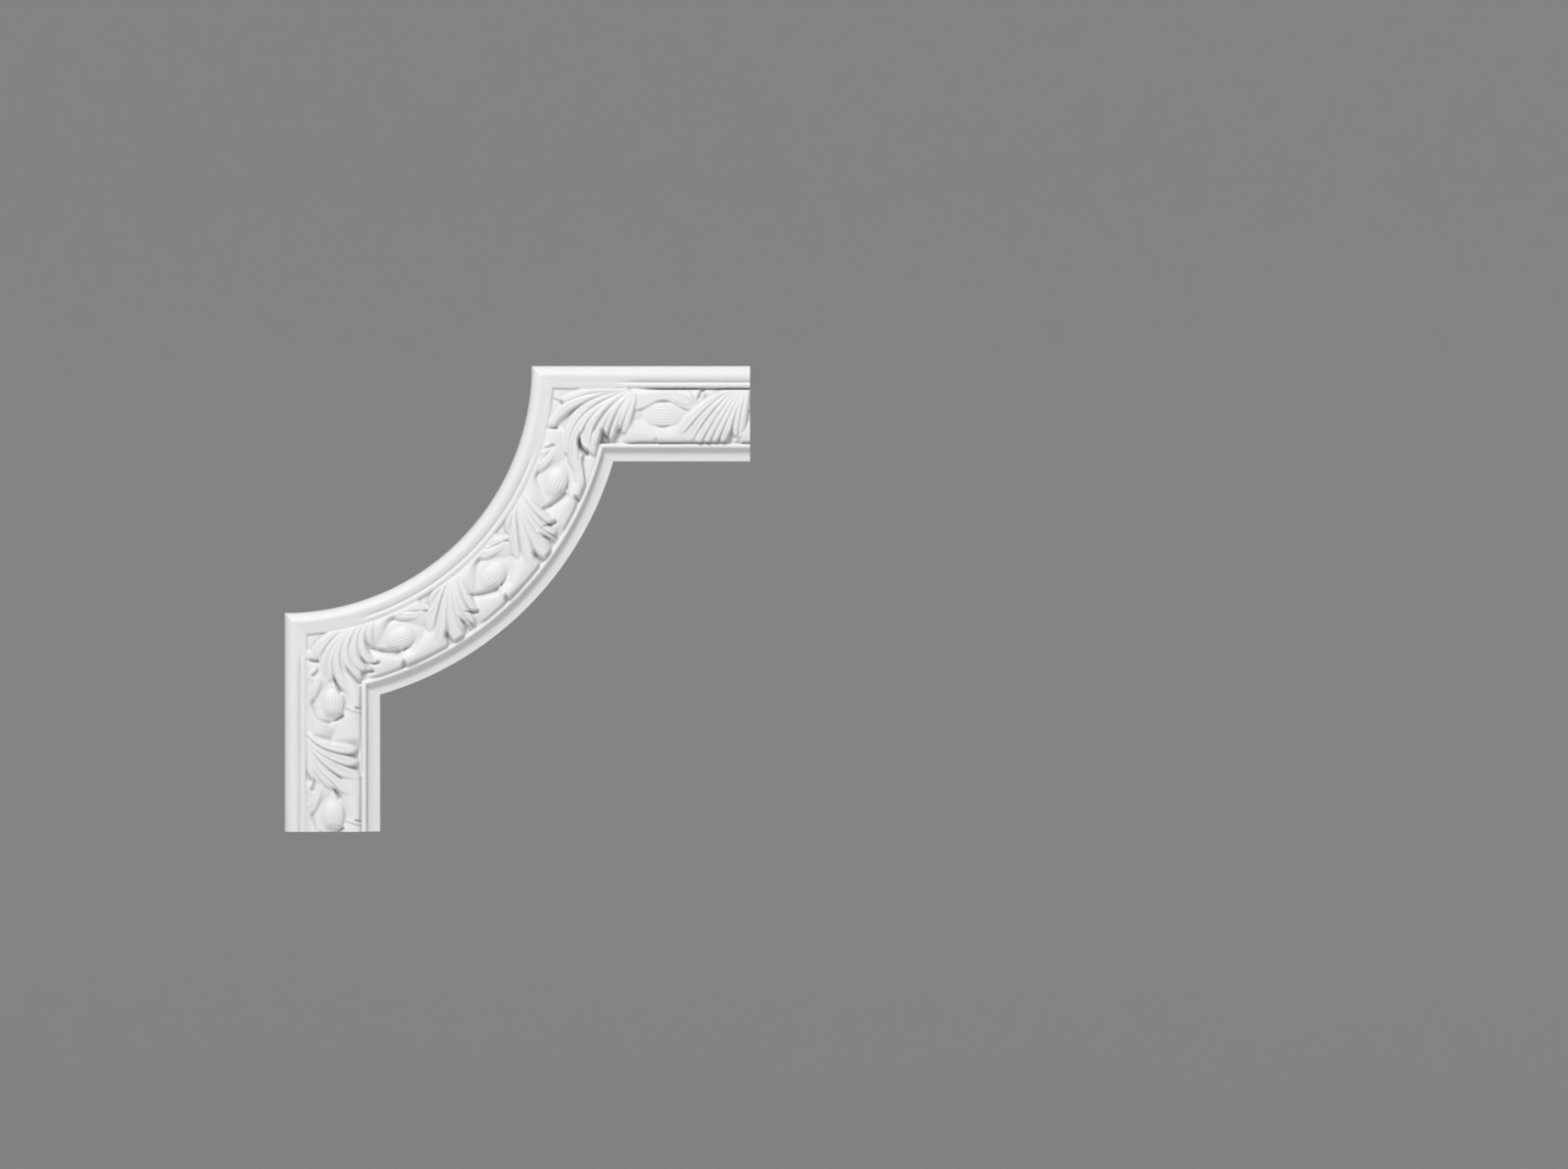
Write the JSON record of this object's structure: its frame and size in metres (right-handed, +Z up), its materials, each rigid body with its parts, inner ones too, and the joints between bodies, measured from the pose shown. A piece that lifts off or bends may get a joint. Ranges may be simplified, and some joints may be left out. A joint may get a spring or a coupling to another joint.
{
  "type": "panel moulding corner",
  "caption": "Carved-leaf corner block for wall panel moulding: square-cut arms joined by a hollow quarter circle, with a running leaf and bud ornament, cast in one piece.",
  "frame": {"origin": "on the flat back, at the middle of the quarter circle and of its face width", "axes": "+Z up the wall, +X along the upper arm towards its cut end, +Y into the wall, so the carved face looks towards -Y"},
  "size_m": [0.294, 0.0205, 0.294],
  "materials": {
    "primed_white": "white primer on rigid polymer, matt to satin, not yet painted"
  },
  "bodies": {
    "root": {"corner_moulding": "primed_white"}
  },
  "joints": []
}
